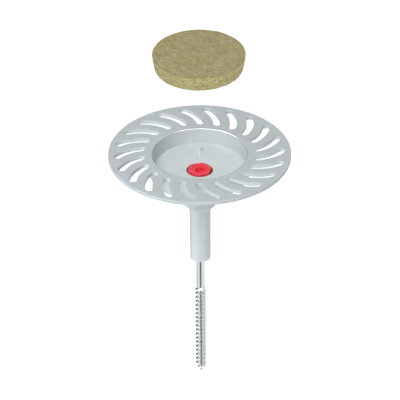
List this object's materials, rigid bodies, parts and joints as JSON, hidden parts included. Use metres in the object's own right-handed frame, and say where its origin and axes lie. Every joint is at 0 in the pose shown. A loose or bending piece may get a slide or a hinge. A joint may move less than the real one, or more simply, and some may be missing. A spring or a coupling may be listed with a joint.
{
  "type": "insulation screw fixing",
  "caption": "Insulation screw fixing: a slotted pressure plate with a sunk cup, a sleeve round a captive screw with a drive head, and a mineral-wool plug for the cup.",
  "frame": {"origin": "centre of the plate's top face, on the screw's axis, flush with the insulation's surface", "axes": "+Z along the screw's axis, out of the insulation and towards the plug; the point is at -Z; +X to the right and +Y away from the viewer of the picture"},
  "size_m": [0.11, 0.11, 0.2258],
  "materials": {
    "plate_plastic": "fine-grained light grey moulding",
    "head_plastic": "smooth red moulding",
    "zinc_steel": "bright zinc plating on rolled steel",
    "mineral_wool": "fibrous tan mineral wool, cut faces"
  },
  "bodies": {
    "screw": {"screw": "zinc_steel", "drive_head": "head_plastic"},
    "plate": {"washer_plate": "plate_plastic"},
    "plug": {"wool_plug": "mineral_wool"}
  },
  "joints": [
    {"name": "screw_spin", "type": "hinge", "parent": "screw", "child": "plate", "pos_m": [0, 0, -0.028], "axis": [0, 0, 1], "continuous": true},
    {"name": "plug_slide", "type": "slide", "parent": "plate", "child": "plug", "axis": [0, 0, 1], "range_m": [-0.0705, 0]}
  ]
}
